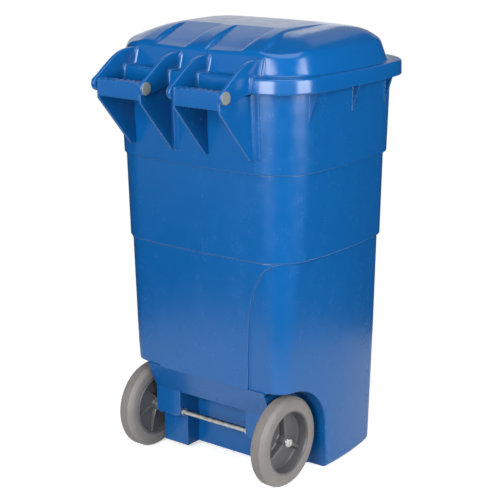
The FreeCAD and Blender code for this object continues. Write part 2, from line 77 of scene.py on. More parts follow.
# ------------------------------------------------------------------ materials
class Graph:
    """A material's node tree, with short calls for adding and joining nodes."""

    def __init__(self, name):
        self.material = bpy.data.materials.new(name)
        self.material.use_nodes = True
        self.tree = self.material.node_tree
        self.shader = next(n for n in self.tree.nodes if n.type == "BSDF_PRINCIPLED")
        self.coords = self.add("ShaderNodeTexCoord").outputs["Object"]

    def add(self, kind, inputs=None, **settings):
        node = self.tree.nodes.new(kind)
        for key, value in settings.items():
            setattr(node, key, value)
        for key, value in (inputs or {}).items():
            self.put(node.inputs[key], value)
        return node

    def put(self, socket, value):
        if isinstance(value, bpy.types.NodeSocket):
            self.tree.links.new(value, socket)
        else:
            socket.default_value = value

    def noise(self, scale, detail=2.0, roughness=0.5, stretch=None, seed=0.0):
        place = self.add("ShaderNodeMapping", {"Vector": self.coords, "Location": (seed, seed, seed)})
        if stretch:
            place.inputs["Scale"].default_value = stretch
        node = self.add("ShaderNodeTexNoise", {"Vector": place.outputs["Vector"], "Scale": scale,
                                               "Detail": detail, "Roughness": roughness})
        return node.outputs["Fac"]

    def ramp(self, value, low, high, out_low=0.0, out_high=1.0):
        node = self.add("ShaderNodeMapRange", {"Value": value, "From Min": low, "From Max": high,
                                               "To Min": out_low, "To Max": out_high})
        return node.outputs["Result"]

    def blend(self, factor, first, second):
        node = self.add("ShaderNodeMix", data_type="RGBA")
        self.put(node.inputs[0], factor)
        self.put(node.inputs[6], first)
        self.put(node.inputs[7], second)
        return node.outputs[2]

    def math(self, operation, first, second=0.0):
        node = self.add("ShaderNodeMath", operation=operation)
        self.put(node.inputs[0], first)
        self.put(node.inputs[1], second)
        return node.outputs[0]

    def edges(self, radius):
        """0 on flat areas, rising to 1 on edges narrower than the radius."""
        rounded = self.add("ShaderNodeBevel", {"Radius": radius}, samples=4).outputs["Normal"]
        plain = self.add("ShaderNodeNewGeometry").outputs["Normal"]
        dot = self.add("ShaderNodeVectorMath", {0: rounded, 1: plain}, operation="DOT_PRODUCT")
        return self.ramp(dot.outputs["Value"], 0.995, 0.80)

    def bump(self, layers, normal=None):
        """Stacks (height, strength, distance) bump layers and feeds the shader's normal."""
        for height, strength, distance in layers:
            node = self.add("ShaderNodeBump", {"Height": height, "Strength": strength,
                                               "Distance": distance})
            if normal is not None:
                self.put(node.inputs["Normal"], normal)
            normal = node.outputs["Normal"]
        self.put(self.shader.inputs["Normal"], normal)


# The share of its roughness that a rubbed plastic edge loses.
RUBBED_GLOSS = 0.25


def moulded_plastic(name, colour, roughness, grain, edge_highlight_share, round_edges=0.0):
    """Injection-moulded plastic: drifting colour, flow mottle, fine grain, and a painted highlight that
    pales its edges.
    """
    g = Graph(name)
    drift = g.ramp(g.noise(3.5, 3.0, 0.55), 0.3, 0.7)
    mottle = g.ramp(g.noise(38.0, 4.0, 0.6, seed=2.0), 0.35, 0.65)
    streaks = g.ramp(g.noise(26.0, 3.0, 0.6, stretch=(1.0, 1.0, 0.12), seed=5.0), 0.4, 0.75)
    base = g.blend(drift, scaled(colour, 0.95), scaled(colour, 1.05))
    base = g.blend(g.math("MULTIPLY", mottle, 0.5), base, scaled(colour, 1.06))
    edge = g.edges(0.0022)
    # Painted highlight: the base colour is paled towards light grey in patches along convex and concave
    # edges, standing in for the light that rounded edges catch. The same edge mask also lowers the
    # roughness there.
    painted_edge_highlight = g.math("MULTIPLY", edge, g.ramp(g.noise(120.0, 3.0, 0.7, seed=9.0), 0.30, 0.62, 0.35, 1.0))
    highlight_grey = tuple(c + (0.62 - c) * edge_highlight_share for c in colour[:3]) + (1.0,)
    g.put(g.shader.inputs["Base Color"], g.blend(g.math("MULTIPLY", painted_edge_highlight, 0.8), base, highlight_grey))
    dull = g.math("ADD", g.ramp(mottle, 0.0, 1.0, roughness - 0.03, roughness + 0.04),
                  g.math("MULTIPLY", streaks, 0.05))
    g.put(g.shader.inputs["Roughness"],
          g.math("SUBTRACT", dull, g.math("MULTIPLY", edge, RUBBED_GLOSS * roughness)))
    g.shader.inputs["IOR"].default_value = 1.5
    normal = None
    if round_edges:
        normal = g.add("ShaderNodeBevel", {"Radius": round_edges}, samples=6).outputs["Normal"]
    g.bump([(g.noise(7.0, 1.0, 0.4, seed=1.0), 0.10 * grain, 0.003),
            (g.noise(420.0, 3.0, 0.65), 0.30 * grain, 0.00035),
            (g.noise(1600.0, 2.0, 0.6, seed=4.0), 0.30 * grain, 0.0001)], normal)
    return g.material


def rubber(name, colour):
    """Grey wheel rubber: cloudy colour, dark specks, paler edges and fine pitting."""
    g = Graph(name)
    cloud = g.ramp(g.noise(22.0, 4.0, 0.6), 0.3, 0.7)
    speck = g.ramp(g.noise(700.0, 2.0, 0.6, seed=3.0), 0.52, 0.72)
    base = g.blend(cloud, scaled(colour, 0.88), scaled(colour, 1.10))
    base = g.blend(g.math("MULTIPLY", speck, 0.35), base, scaled(colour, 0.62))
    edge = g.edges(0.0014)
    g.put(g.shader.inputs["Base Color"],
          g.blend(g.math("MULTIPLY", edge, 0.35), base, scaled(colour, 1.35)))
    g.put(g.shader.inputs["Roughness"], g.ramp(cloud, 0.0, 1.0, 0.52, 0.66))
    g.shader.inputs["Sheen Weight"].default_value = 0.10
    g.shader.inputs["Sheen Roughness"].default_value = 0.5
    g.bump([(g.noise(60.0, 3.0, 0.6, seed=2.0), 0.18, 0.0012),
            (g.noise(900.0, 3.0, 0.7), 0.40, 0.00025)])
    return g.material


def plated_steel(name, colour):
    """Bright zinc plate: drawn along X, cloudy, and slightly uneven."""
    g = Graph(name)
    drawn = g.noise(900.0, 2.0, 0.6, stretch=(0.02, 1.0, 1.0))
    cloud = g.ramp(g.noise(90.0, 3.0, 0.6, seed=6.0), 0.35, 0.65)
    base = g.blend(cloud, scaled(colour, 0.82), scaled(colour, 1.08))
    g.put(g.shader.inputs["Base Color"], base)
    g.shader.inputs["Metallic"].default_value = 1.0
    g.put(g.shader.inputs["Roughness"],
          g.math("ADD", g.ramp(cloud, 0.0, 1.0, 0.20, 0.34), g.math("MULTIPLY", drawn, 0.10)))
    rounded = g.add("ShaderNodeBevel", {"Radius": 0.0006}, samples=4).outputs["Normal"]
    g.bump([(drawn, 0.25, 0.00012), (g.noise(300.0, 2.0, 0.5, seed=1.0), 0.12, 0.0003)], rounded)
    return g.material


BLUE = (0.0014, 0.070, 0.235, 1.0)
TUB = moulded_plastic("tub_moulded_blue", BLUE, 0.22, 0.45, 0.16, round_edges=0.0025)
LID = moulded_plastic("lid_moulded_blue", BLUE, 0.17, 0.22, 0.20, round_edges=0.0015)
HUB = moulded_plastic("hub_moulded_black", linear(76, 76, 78), 0.34, 0.8, 0.05, round_edges=0.0008)
PIN = moulded_plastic("pin_moulded_grey", linear(104, 108, 108), 0.48, 1.2, 0.15, round_edges=0.0008)
NYLON = moulded_plastic("sleeve_moulded_natural", linear(205, 200, 186), 0.42, 0.5, 0.10)
TYRE = rubber("tyre_grey_rubber", linear(107, 103, 100))
ZINC = plated_steel("zinc_plated_steel", linear(205, 205, 200))
BY_SLOT = {"tub_plastic": TUB, "lid_plastic": LID, "tyre": TYRE, "hub_plastic": HUB,
           "sleeve_plastic": NYLON, "pin_plastic": PIN, "zinc_steel": ZINC}


def dress_cad_nodes():
    """Gives every CAD node the material of its slot."""
    slots = {part["node"]: part["material_slot"] for part in frame["record"]["subparts"]}
    for name, obj in NODES.items():
        obj.data.materials.clear()
        obj.data.materials.append(BY_SLOT[slots[name]])


# ------------------------------------------------------------------ mesh helpers
class Shape:
    """A bmesh in millimetres, built up from rings of vertices."""

    def __init__(self):
        self.mesh = bmesh.new()

    def ring(self, points):
        return [self.mesh.verts.new(p) for p in points]

    def face(self, *corners):
        if len(set(corners)) == len(corners):
            self.mesh.faces.new(corners)

    def bridge(self, first, second, closed=True):
        count = len(first)
        for i in range(count if closed else count - 1):
            j = (i + 1) % count
            self.face(first[i], first[j], second[j], second[i])

    def loft(self, rings, closed=True):
        for first, second in zip(rings, rings[1:]):
            self.bridge(first, second, closed)

    def capped_loft(self, rings):
        """A tube through closed rings, with both of its ends filled."""
        self.loft(rings)
        self.fill(rings[0])
        self.fill(rings[-1])

    def fan(self, ring, tip):
        """Triangles from a closed ring to one vertex."""
        for a, b in zip(ring, ring[1:] + ring[:1]):
            self.face(a, b, tip)

    def fill(self, *rings):
        """Fills the flat area between closed rings with triangles."""
        edges = []
        for ring in rings:
            for a, b in zip(ring, ring[1:] + ring[:1]):
                edges.append(self.mesh.edges.get((a, b)) or self.mesh.edges.new((a, b)))
        bmesh.ops.triangle_fill(self.mesh, edges=edges, use_beauty=True)

    def piece(self, name, material, body, replaces=(), mirror=False, sharp=38):
        """Turns the shape into an object that rides on a body."""
        bmesh.ops.remove_doubles(self.mesh, verts=self.mesh.verts, dist=0.004)
        bmesh.ops.recalc_face_normals(self.mesh, faces=self.mesh.faces)
        scale = Matrix.Diagonal((-MM if mirror else MM, MM, MM, 1))
        bmesh.ops.transform(self.mesh, matrix=scale, verts=self.mesh.verts)
        if mirror:
            bmesh.ops.reverse_faces(self.mesh, faces=self.mesh.faces)
        mesh = bpy.data.meshes.new(name)
        self.mesh.to_mesh(mesh)
        mesh.polygons.foreach_set("use_smooth", [True] * len(mesh.polygons))
        mesh.set_sharp_from_angle(angle=math.radians(sharp))
        mesh.materials.append(material)
        obj = bpy.data.objects.new(name, mesh)
        bpy.context.scene.collection.objects.link(obj)
        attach(obj, body)
        if replaces:
            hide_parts(*replaces)
        return obj


def smoothstep(value, low, high):
    t = min(1.0, max(0.0, (value - low) / (high - low)))
    return t * t * (3 - 2 * t)


def mix(a, b, t):
    return a + (b - a) * t


def curve_through(points, steps=6):
    """A smooth curve through 2-D points (Catmull-Rom), ends kept."""
    padded = [points[0]] + list(points) + [points[-1]]
    out = []
    for a, b, c, d in zip(padded, padded[1:], padded[2:], padded[3:]):
        for i in range(steps):
            t = i / steps
            out.append(tuple(0.5 * (2 * b[k] + (c[k] - a[k]) * t
                                    + (2 * a[k] - 5 * b[k] + 4 * c[k] - d[k]) * t * t
                                    + (3 * b[k] - a[k] - 3 * c[k] + d[k]) * t ** 3) for k in (0, 1)))
    out.append(points[-1])
    return out


# A corner whose sides open wider than twice this angle is nearly straight, and stays as it is.
NEARLY_STRAIGHT = math.radians(88)


def rounded_loop(corners, steps=5):
    """A closed 2-D loop of (x, y, radius) corners with each corner rounded to its radius."""
    out = []
    count = len(corners)
    for i, (x, y, radius) in enumerate(corners):
        here = Vector((x, y))
        back = Vector(corners[i - 1][:2]) - here
        ahead = Vector(corners[(i + 1) % count][:2]) - here
        if radius <= 0 or back.length < 1e-6 or ahead.length < 1e-6:
            out.append((x, y))
            continue
        half = back.angle(ahead) / 2
        if half > NEARLY_STRAIGHT:
            out.append((x, y))
            continue
        reach = min(radius / math.tan(half), back.length * 0.49, ahead.length * 0.49)
        radius = reach * math.tan(half)
        start, end = here + back.normalized() * reach, here + ahead.normalized() * reach
        middle = (back.normalized() + ahead.normalized()).normalized()
        centre = here + middle * (radius / math.sin(half))
        first, last = start - centre, end - centre
        sweep = first.angle_signed(last)
        for k in range(steps + 1):
            turned = first.copy()
            turned.rotate(Matrix.Rotation(-sweep * k / steps, 2))
            out.append(tuple(centre + turned))
    return out


def loop_normals(loop):
    """Outward unit normals and mitre lengths of a counter-clockwise closed loop."""
    out = []
    for before, here, after in zip(loop[-1:] + loop[:-1], loop, loop[1:] + loop[:1]):
        a = Vector(here) - Vector(before)
        b = Vector(after) - Vector(here)
        na, nb = Vector((a.y, -a.x)).normalized(), Vector((b.y, -b.x)).normalized()
        n = (na + nb).normalized() if (na + nb).length > 1e-6 else na
        out.append(n / max(0.5, n.dot(nb)))
    return out


def inset_loop(loop, distance):
    return [tuple(Vector(p) - n * distance) for p, n in zip(loop, loop_normals(loop))]


def area(loop):
    return sum(a[0] * b[1] - b[0] * a[1] for a, b in zip(loop, loop[1:] + loop[:1])) / 2


def circle(centre, radius, count=48):
    return [(centre[0] + radius * math.cos(2 * math.pi * i / count),
             centre[1] + radius * math.sin(2 * math.pi * i / count)) for i in range(count)]


def plate(shape, loop, x0, x1, radius, holes=(), steps=3):
    """A plate between x0 and x1 with the (y, z) outline, all its edges rounded."""
    loop = loop if area(loop) > 0 else loop[::-1]
    sides = {x0: [], x1: []}
    for outline, inward in [(loop, 1)] + [(hole, -1) for hole in holes]:
        rings = []
        for k in range(steps + 1):
            angle = math.pi / 2 * k / steps
            ring = inset_loop(outline, inward * radius * (1 - math.sin(angle)))
            rings.append((radius * (1 - math.cos(angle)), ring))
        first = [shape.ring([(x0 + depth, y, z) for y, z in ring]) for depth, ring in rings]
        last = [shape.ring([(x1 - depth, y, z) for y, z in ring]) for depth, ring in reversed(rings)]
        shape.loft(first + last)
        sides[x0].append(first[0])
        sides[x1].append(last[-1])
    for rings in sides.values():
        shape.fill(*rings)


def radial_ring(shape, section, centre, reach, angle):
    """A ring of (x, across) points, placed at a reach and an angle round the X axis."""
    s, c = math.sin(angle), math.cos(angle)
    return shape.ring([(x, centre[0] + reach * s + across * c, centre[1] + reach * c - across * s)
                       for x, across in section])


def lathe(shape, profile, centre, count):
    """A closed ring turned about the X axis from (x, radius) points."""
    rings = []
    for i in range(count):
        angle = 2 * math.pi * i / count
        c, s = math.cos(angle), math.sin(angle)
        rings.append(shape.ring([(x, centre[0] + radius * s, centre[1] + radius * c)
                                 for x, radius in profile]))
    shape.loft(rings + rings[:1])


# ------------------------------------------------------------------ bowed outlines
# How far a side bows out for its length, and how far the front and the rear bow in millimetres.
# The front bows less where the outline is narrow: no more than a share of the half width.
SIDE_BOW_RATIO = 0.058
FRONT_BOW = 20.0
FRONT_BOW_RATIO = 0.08
REAR_BOW = 20.0
ARC_STEPS = {"side": 40, "corner": 20, "rear": 150, "front": 48}


def bow_radius(half_length, bow):
    return (half_length ** 2 + bow ** 2) / (2 * bow)


def corner_centre(side_centre, side_reach, end_centre, end_reach):
    line = end_centre - side_centre
    gap = line.length
    along = (side_reach ** 2 - end_reach ** 2 + gap ** 2) / (2 * gap)
    across = math.sqrt(side_reach ** 2 - along ** 2)
    line.normalize()
    options = [side_centre + line * along + Vector((-line.y, line.x)) * across * s for s in (1, -1)]
    return max(options, key=lambda point: point.x)


def arc(centre, start, end, steps):
    """Points from start to just before end, the short way round the centre."""
    first, last = start - centre, end - centre
    radius = first.length
    begin = math.atan2(first.y, first.x)
    sweep = (math.atan2(last.y, last.x) - begin + math.pi) % (2 * math.pi) - math.pi
    return [(centre.x + radius * math.cos(begin + sweep * i / steps),
             centre.y + radius * math.sin(begin + sweep * i / steps)) for i in range(steps)]


def outline(half_width, front, rear, corner, rear_bow):
    """The bin's plan outline, counter-clockwise: four bowed sides joined by tangent corners."""
    middle = (front + rear) / 2
    side_radius = bow_radius((rear - front) / 2, SIDE_BOW_RATIO * (rear - front))
    side_centre = Vector((half_width - side_radius, middle))
    joints = {}
    front_bow = min(FRONT_BOW, FRONT_BOW_RATIO * half_width)
    for key, y, bow, inward in (("front", front, front_bow, 1), ("rear", rear, rear_bow, -1)):
        end_radius = bow_radius(half_width, bow)
        end_centre = Vector((0, y + inward * end_radius))
        centre = corner_centre(side_centre, side_radius - corner, end_centre, end_radius - corner)
        on_side = side_centre + (centre - side_centre) * (side_radius / (side_radius - corner))
        on_end = end_centre + (centre - end_centre) * (end_radius / (end_radius - corner))
        joints[key] = (on_side, centre, on_end, end_centre)
    side_f, centre_f, end_f, ends_f = joints["front"]
    side_r, centre_r, end_r, ends_r = joints["rear"]

    def flip(v):
        return Vector((-v.x, v.y))

    n = ARC_STEPS
    return (arc(side_centre, side_f, side_r, n["side"]) + arc(centre_r, side_r, end_r, n["corner"])
            + arc(ends_r, end_r, flip(end_r), n["rear"])
            + arc(flip(centre_r), flip(end_r), flip(side_r), n["corner"])
            + arc(flip(side_centre), flip(side_r), flip(side_f), n["side"])
            + arc(flip(centre_f), flip(side_f), flip(end_f), n["corner"])
            + arc(ends_f, flip(end_f), end_f, n["front"])
            + arc(centre_f, end_f, side_f, n["corner"]))


def rear_y(x, half_width, rear, rear_bow):
    """Where the bowed rear edge of an outline lies at x."""
    radius = bow_radius(half_width, rear_bow)
    return rear - radius + math.sqrt(radius ** 2 - x ** 2)


# ------------------------------------------------------------------ lid
LID_LOW, LID_HIGH = node_box("lid")
ARMS = {k: node_box("lid_arm_%s_left" % k) for k in ("inner", "outer")}
# The knuckle is the round end of an arm, with the pin's bore in its middle. Its arc is in degrees.
KNUCKLE = 15.5
KNUCKLE_ARC = (56.0, -98.0)
PIN_BORE = 6.05
HINGE_HEIGHT = 883.0
HINGE = (ARMS["outer"][1].y - KNUCKLE, HINGE_HEIGHT)
# The flange is the skirt round the lid and the flat top between the skirt and the dome.
FLANGE_RISE = 32.0
FLANGE_THICK = 4.5
FLANGE_TOP = LID_LOW.z + FLANGE_RISE
FLANGE_UNDER = FLANGE_TOP - FLANGE_THICK
FLANGE_CORNER = 110.0
FLANGE_ROUND = 6.2
SKIRT_THICK = 3.8
DOME_THICK = 3.4
# How far the back of a fillet strip is sunk into the arm, and how far its foot is sunk into the wall.
FILLET_SUNK = 1.5
FOOT_SUNK = 1.0
# Radii of the fillets between an arm and the dome's wall, and between an arm and the skirt.
WALL_FILLET = 6.5
SKIRT_FILLET = 5.0
# Dome levels: z, half width, front y, rear y, corner radius, rear bow, then the rounding there.
DOME = [(913.0, 273.0, -257.5, 178.2, 100, 20, 0.0), (913.0, 268.8, -253.6, 174.2, 96, 20, 3.8),
        (958.0, 251.0, -248.0, 161.5, 92, 18, 9.0), (980.0, 217.0, -222.0, 112.0, 74, 14, 18.0),
        (990.5, 184.0, -160.0, 76.0, 54, 8, 14.0), (995.8, 136.0, -112.0, 50.0, 34, 4, 7.0),
        (997.0, 62.0, -70.0, -10.0, 18, 2, 0.0)]
# The two rear panels slope from the ridge down to their foot.
RIDGE_Y, RIDGE_Z = 45.0, 994.2
PANEL_FOOT_Y, PANEL_FOOT_Z = 140.0, 962.5
PANEL_CROWN = 1.6
PANEL_DEPTH_LIMIT = 14.0
RIB_CENTRES = (0.0, 143.0)
RIB_LIFT = 1.6
SIDE_STEP = 3.4


def dome_levels(spacing=4.0):
    """The dome's levels from the flange up, with each key level rounded off."""
    keys = [Vector(k[:6]) for k in DOME]

    def span(a, b):
        return math.hypot(b[0] - a[0], b[1] - a[1])

    stops = [keys[0]]
    out = []
    for i in range(1, len(keys)):
        reach = DOME[i][6]
        before = keys[i - 1]
        into = (keys[i] - before) / span(before, keys[i])
        start = keys[i] - into * reach
        length = span(stops[-1], start)
        count = max(1, round(length / spacing))
        out += [stops[-1] + (start - stops[-1]) * (k / count) for k in range(count)]
        if reach:
            away = (keys[i + 1] - keys[i]) / span(keys[i], keys[i + 1])
            end = keys[i] + away * reach
            bend = 7 if i < 3 else 4
            for k in range(bend):
                t = k / bend
                out.append(start * (1 - t) ** 2 + keys[i] * 2 * t * (1 - t) + end * t * t)
            stops.append(end)
        else:
            out.append(keys[i])
    return out


def rib_strength(x, y):
    """1 on the crest of a rib, falling to 0 at its edges; ribs get narrower up the slope."""
    climb = smoothstep(y, 40, 150)
    strength = 0.0
    for centre in RIB_CENTRES:
        half = mix(16.0, 25.0, climb) if centre == 0 else mix(18.0, 24.0, climb)
        strength = max(strength, 1 - smoothstep(abs(abs(x) - centre), half - 5, half + 3))
    return strength


def sculpt(x, y, z):
    """Cuts the two rear panels between the ribs, lifts the ribs and steps the sides down."""
    climb = smoothstep(y, 45, 150)
    inner = mix(17.0, 26.0, climb)
    outer = mix(124.0, 119.0, climb)
    inside = smoothstep(abs(x), inner, inner + 5) * (1 - smoothstep(abs(x), outer - 4, outer + 1))
    t = (y - RIDGE_Y) / (PANEL_FOOT_Y - RIDGE_Y)
    panel = mix(RIDGE_Z, PANEL_FOOT_Z, t) + PANEL_CROWN * math.sin(math.pi * min(1.0, max(0.0, t)))
    over = z - panel
    cut = 0.5 * (over + math.sqrt(over * over + 0.6))
    if z > 950 and y > 0:
        z -= inside * min(cut, PANEL_DEPTH_LIMIT)
    rib = rib_strength(x, y)
    z += RIB_LIFT * rib * smoothstep(y, 60, 110) * smoothstep(z, 952, 966)
    edge = mix(146.0, 166.0, smoothstep(y, 30, 150))
    aside = smoothstep(abs(x), edge, edge + 6) * (1 - smoothstep(abs(x), 205, 240))
    fore = smoothstep(y, -150, 20) * (1 - smoothstep(y, 128, 152))
    z -= SIDE_STEP * aside * fore
    return x, y, z


def lid():
    shape = Shape()
    outer = []
    for level in dome_levels():
        z, half_width, front, rear, corner, bow = level
        ring = outline(half_width, front, rear, corner, bow)
        outer.append(shape.ring([sculpt(x, y, z) for x, y in ring]))
    top = DOME[-1]
    centre_y = (top[2] + top[3]) / 2
    ring = [(v.co.x, v.co.y) for v in outer[-1]]
    for shrink, rise in ((0.75, 0.075), (0.66, 0.15), (0.66, 0.225)):
        ring = [(x * shrink, centre_y + (y - centre_y) * shrink) for x, y in ring]
        outer.append(shape.ring([(x, y, top[0] + rise) for x, y in ring]))
    shape.loft(outer)
    crown = shape.mesh.verts.new((0, centre_y, top[0] + 0.4))
    shape.fan(outer[-1], crown)
    shape.mesh.normal_update()
    bmesh.ops.recalc_face_normals(shape.mesh, faces=shape.mesh.faces)
    shape.mesh.normal_update()
    start = next(i for i, ring in enumerate(outer) if ring[0].co.z > FLANGE_TOP + 3)
    inner = [shape.ring([v.co - v.normal * DOME_THICK for v in ring]) for ring in outer[start:]]
    shape.loft(inner)
    under = shape.mesh.verts.new(crown.co - Vector((0, 0, DOME_THICK)))
    shape.fan(inner[-1], under)
    base = shape.ring([(v.co.x, v.co.y, FLANGE_UNDER) for v in inner[0]])
    shape.bridge(inner[0], base)

    path = outline(LID_HIGH.x, LID_LOW.y, LID_HIGH.y, FLANGE_CORNER, REAR_BOW)
    profile = [(FLANGE_ROUND + 0.4, FLANGE_TOP)]
    for k in range(1, 7):
        angle = math.pi / 2 * k / 6
        profile.append((FLANGE_ROUND * (1 - math.sin(angle)) + 0.4,
                        FLANGE_TOP - FLANGE_ROUND * (1 - math.cos(angle))))
    profile += [(0.25, 895.0), (0.0, 884.0), (0.0, 882.2), (0.5, 881.2), (1.3, 881.0), (2.6, 881.0),
                (3.4, 881.3), (SKIRT_THICK, 882.2), (SKIRT_THICK, FLANGE_UNDER)]
    rings = []
    for inset, z in profile:
        rings.append(shape.ring([(x, y, z) for x, y in inset_loop(path, inset)]))
    shape.loft(rings)
    shape.fill(rings[0], outer[0])
    shape.fill(rings[-1], base)
    return shape.piece("lid_shell", LID, "lid", ["lid"])


def dome_wall_y(x, z):
    """Where the dome's rear wall stands at (x, z)."""
    low, high = DOME[1], DOME[2]
    t = (z - low[0]) / (high[0] - low[0])
    return rear_y(x, mix(low[1], high[1], t), mix(low[3], high[3], t), mix(low[5], high[5], t))


def arm_loop(x):
    """The (y, z) outline of a hinge arm: wall, sloping top edge, knuckle, lower edge, notch."""
    hinge_y, hinge_z = HINGE
    upper = curve_through([(188, 947.4), (204, 944.6), (219, 939), (234, 931), (249, 921.5),
                           (264, 911), (277, 901.6), (286.6, 896.2)], 4)
    nose = []
    for k in range(15):
        angle = math.radians(mix(*KNUCKLE_ARC, k / 14))
        nose.append((hinge_y + KNUCKLE * math.cos(angle), hinge_z + KNUCKLE * math.sin(angle)))
    lower = curve_through([(265, 869.6), (241, 874), (219, 878), (205, 880)], 4)
    wall = [(dome_wall_y(x, z) - 1.8, z) for z in (914, 930, 948)]
    return wall + [(dome_wall_y(x, 948) + 8, 948.2)] + upper + nose + lower + [
        (197.4, 880.5), (197.4, 909.5), (190, 911.0)]


def arms():
    for key, (low, high) in ARMS.items():
        for side_name, side in SIDES.items():
            shape = Shape()
            middle = (low.x + high.x) / 2
            hole = circle(HINGE, PIN_BORE)
            plate(shape, arm_loop(middle), low.x, high.x, 1.5, [hole])
            for x, out in ((low.x, -1), (high.x, 1)):
                wall_fillet(shape, x, out)
                flange_fillet(shape, x, out)
            shape.piece("lid_arm_%s_%s_moulding" % (key, side_name), LID, "lid",
                        ["lid_arm_%s_%s" % (key, side_name)], mirror=side < 0)


def wall_fillet(shape, x, out):
    """The concave strip that blends an arm's face into the dome's rear wall."""
    rings = []
    for i in range(13):
        z = mix(FLANGE_TOP - 0.5, 948.0, i / 12)
        radius = WALL_FILLET * min(1.0, math.sqrt(max(0.0, (949.0 - z) / 8))) + 0.3
        section = [(x - out * FILLET_SUNK, dome_wall_y(x, z) - FOOT_SUNK)]
        for k in range(8):
            angle = math.pi / 2 * k / 7
            sx = x + out * radius * (1 - math.sin(angle))
            section.append((sx, dome_wall_y(sx, z) - 0.1 + radius * (1 - math.cos(angle))))
        section.append((x - out * FILLET_SUNK, section[-1][1]))
        rings.append(shape.ring([(sx, sy, z) for sx, sy in section]))
    shape.capped_loft(rings)


def flange_fillet(shape, x, out):
    """The concave strip beside an arm, up the skirt, over its rounded edge and along its top."""
    face = rear_y(x, LID_HIGH.x, LID_HIGH.y, REAR_BOW) - 0.3
    face_bow = rear_y(x, LID_HIGH.x, face, REAR_BOW)
    path = [(face, z, 0.0) for z in (881.4, 882.5, 884.5, 888.0, 893.0, 900.0)]
    for k in range(7):
        angle = math.pi / 2 * k / 6
        path.append((face - FLANGE_ROUND * (1 - math.cos(angle)),
                     FLANGE_TOP - FLANGE_ROUND * (1 - math.sin(angle)), angle))
    path += [(mix(path[-1][0], dome_wall_y(x, 914.0) - FOOT_SUNK, i / 6), FLANGE_TOP, math.pi / 2)
             for i in range(1, 7)]
    rings = []
    for y, z, angle in path:
        radius = SKIRT_FILLET * min(1.0, math.sqrt((z - 880.9) / 5.0))
        section = [(x - out * FILLET_SUNK, -FOOT_SUNK)]
        for k in range(8):
            turn = math.pi / 2 * k / 7
            section.append((x + out * radius * (1 - math.sin(turn)), radius * (1 - math.cos(turn)) - 0.1))
        section.append((x - out * FILLET_SUNK, section[-1][1]))
        ring = []
        for sx, rise in section:
            bowed = rear_y(sx, LID_HIGH.x, face, REAR_BOW) - face_bow
            ring.append((sx, y + rise * math.cos(angle) + bowed, z + rise * math.sin(angle)))
        rings.append(shape.ring(ring))
    shape.capped_loft(rings)


# ------------------------------------------------------------------ handles
# The upper tier's lowest and highest level: z, half width, rear y.
UPPER_LOW, UPPER_HIGH = (708.0, 262.0, 179.5), (908.0, 266.5, 188.0)
# The cheeks are a handle's two side plates. The grip's ends are sunk a little into them.
CHEEK_THICK = 6.0
GRIP_SUNK = 1.0
GRIP_DEPTH, GRIP_HEIGHT = 27.0, 37.5
SCALLOPS, SCALLOP_DEPTH, SCALLOP_STEPS = 7, 2.7, 16


def tub_wall_y(x, z):
    """Where the upper tier's rear wall stands at (x, z)."""
    t = (z - UPPER_LOW[0]) / (UPPER_HIGH[0] - UPPER_LOW[0])
    return rear_y(x, mix(UPPER_LOW[1], UPPER_HIGH[1], t), mix(UPPER_LOW[2], UPPER_HIGH[2], t), REAR_BOW)


def cheek_loop(x, high):
    """The (y, z) outline of a handle's cheek, from the wall out to the grip."""
    wall = [(tub_wall_y(x, z) - 1.5, z) for z in (876.0, 830.0, 790.0, 741.0)]
    corners = [(y, z, 0.0) for y, z in wall]
    corners += [(189.5, 741.0, 1.5), (high.y, 853.0, 5.0), (high.y, high.z, 3.5), (262.0, high.z, 4.0),
                (215.0, 876.0, 12.0)]
    return rounded_loop(corners, 5)


def grip(shape, x0, x1, high):
    """The scalloped bar between the cheeks, open underneath."""
    front, back, bottom = high.y - GRIP_DEPTH, high.y, high.z - GRIP_HEIGHT
    count = SCALLOPS * SCALLOP_STEPS
    rings = []
    for i in range(count + 1):
        x = mix(x0, x1, i / count)
        local = (i % SCALLOP_STEPS) / SCALLOP_STEPS - 0.5
        depth = SCALLOP_DEPTH * (1 - (2 * local) ** 2) if i % SCALLOP_STEPS else 0.0
        top = high.z - depth
        section = rounded_loop([(front, bottom, 1.2), (front + 3.6, bottom, 1.2),
                                (front + 4.2, high.z - 9, 2.0), (back - 4.2, high.z - 9, 2.0),
                                (back - 3.6, bottom, 1.2), (back, bottom, 1.2),
                                (back, high.z - 6.4, 0.0), (back, top, 3.2), (front, top, 3.2),
                                (front, high.z - 6.4, 0.0)], 4)
        rings.append(shape.ring([(x, y, z) for y, z in section]))
    shape.capped_loft(rings)


def wall_pad(shape, x, out):
    """A low moulded pad on the wall beside a cheek, blended into the cheek's face."""
    rings = []
    for i in range(25):
        z = mix(738.0, 879.0, i / 24)
        swell = min(1.0, (z - 737.5) / 6)
        width, rise = 13.0, 1.5 * swell
        blend = 5.0 * min(1.0, (z - 737.5) / 14)
        section = [(x - out * 2.0, -1.0)]
        for px, py in ((width + 1.4, -0.6), (width + 0.9, rise * 0.45), (width + 0.2, rise * 0.85),
                       (width - 1.0, rise)):
            section.append((x + out * px, py))
        for k in range(7):
            angle = math.pi / 2 * k / 6
            section.append((x + out * blend * (1 - math.sin(angle)),
                            rise + blend * (1 - math.cos(angle))))
        section.append((x - out * 2.0, rise + blend))
        rings.append(shape.ring([(px, tub_wall_y(px, z) + py, z) for px, py in section]))
    shape.capped_loft(rings)


